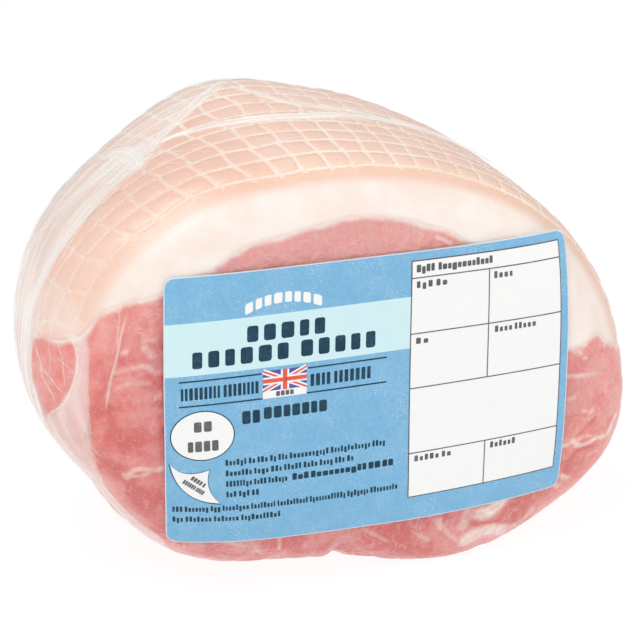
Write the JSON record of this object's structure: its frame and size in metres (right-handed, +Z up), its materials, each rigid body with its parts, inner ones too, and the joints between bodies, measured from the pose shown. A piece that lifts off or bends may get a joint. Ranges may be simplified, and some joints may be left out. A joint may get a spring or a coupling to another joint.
{
  "type": "gammon joint pack",
  "caption": "Rolled joint of raw cured pork with a fat cap and net-pressed rind, sealed in clear shrink film with a blue printed label on its cut face.",
  "frame": {"origin": "under the middle of the joint's box, on the surface that it rests on", "axes": "+X runs to the right across the cut face that carries the label, +Y runs into the joint away from the label, +Z is up"},
  "size_m": [0.1464, 0.0746, 0.113],
  "materials": {
    "lean": "moist raw lean pork, pink, under tight clear film",
    "fat": "creamy fat and pale peach rind under tight clear film",
    "label": "satin printed paper, light blue with pale speckle",
    "film": "clear shrink film, whitish where it is pleated",
    "print": "flat ink on the label",
    "net": "pale elastic netting thread"
  },
  "bodies": {
    "root": {"lean_meat": "lean", "fat_and_rind": "fat", "label": "label", "film_pleats": "film"}
  },
  "joints": []
}
